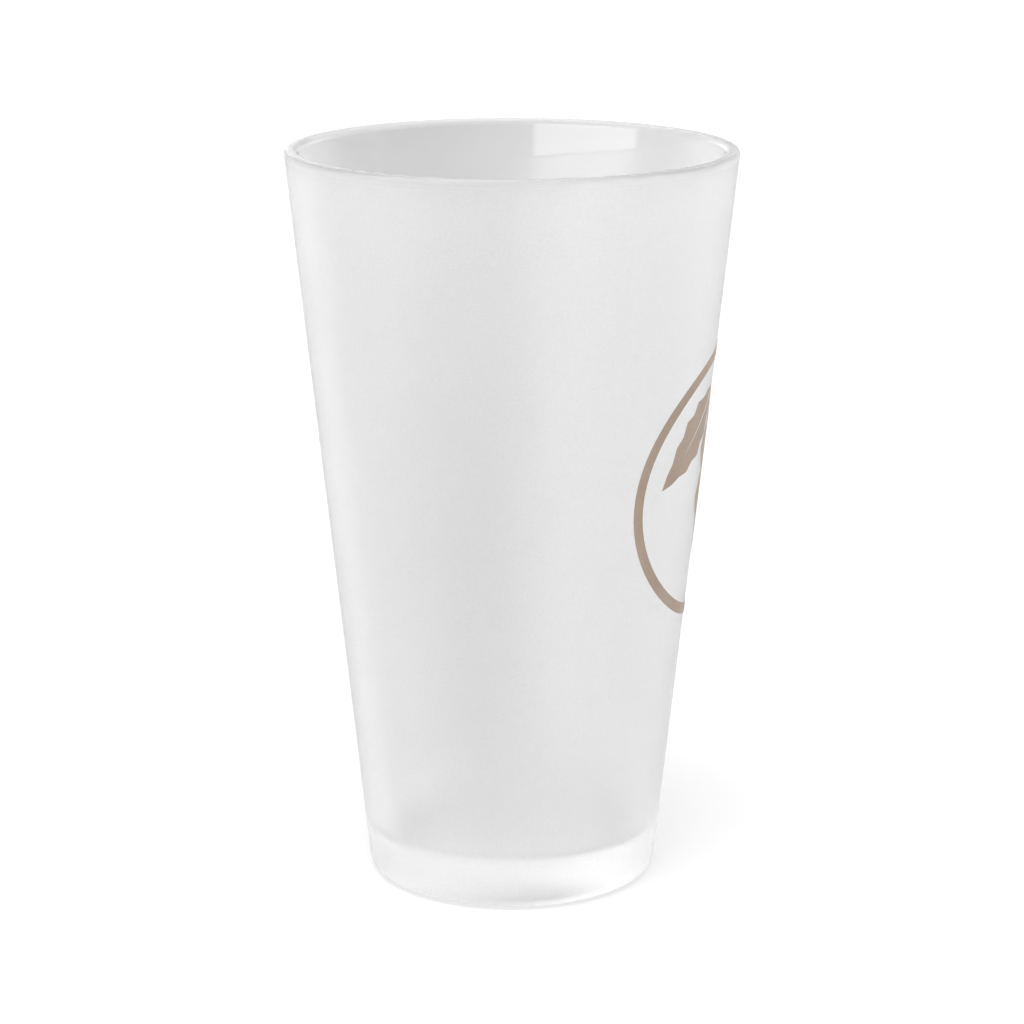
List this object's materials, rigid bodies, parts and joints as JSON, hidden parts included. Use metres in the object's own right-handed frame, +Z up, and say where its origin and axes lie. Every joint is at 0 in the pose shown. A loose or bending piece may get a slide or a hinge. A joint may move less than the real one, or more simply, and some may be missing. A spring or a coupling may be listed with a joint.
{
  "type": "pint glass",
  "caption": "Tapered frosted pint glass with a clear rounded lip, a thick solid base and a printed oval hop badge on its side.",
  "frame": {"origin": "centre of the base, on the surface that the glass stands on", "axes": "+Z up along the glass's axis, from the base to the mouth; -Y towards the middle of the printed badge; +X to the right when facing the badge"},
  "size_m": [0.0886, 0.0886, 0.1475],
  "materials": {
    "clear_glass": "clear soda-lime glass, fire polished inside and at the lip",
    "frosted_coat": "fine matt white frost, translucent",
    "tan_ink": "flat warm grey-tan ink, matt"
  },
  "bodies": {
    "root": {"glass_body": "clear_glass", "frost_coat": "frosted_coat", "ink_ring": "tan_ink", "ink_hop_scale_1": "tan_ink", "ink_hop_scale_2": "tan_ink", "ink_hop_scale_3": "tan_ink", "ink_hop_scale_4": "tan_ink", "ink_hop_scale_5": "tan_ink", "ink_hop_scale_6": "tan_ink", "ink_hop_scale_7": "tan_ink", "ink_hop_scale_8": "tan_ink", "ink_hop_scale_9": "tan_ink", "ink_hop_scale_10": "tan_ink", "ink_hop_scale_11": "tan_ink", "ink_hop_scale_12": "tan_ink", "ink_hop_scale_13": "tan_ink", "ink_hop_leaf_left": "tan_ink", "ink_hop_leaf_right": "tan_ink", "ink_hop_stem": "tan_ink"}
  },
  "joints": []
}
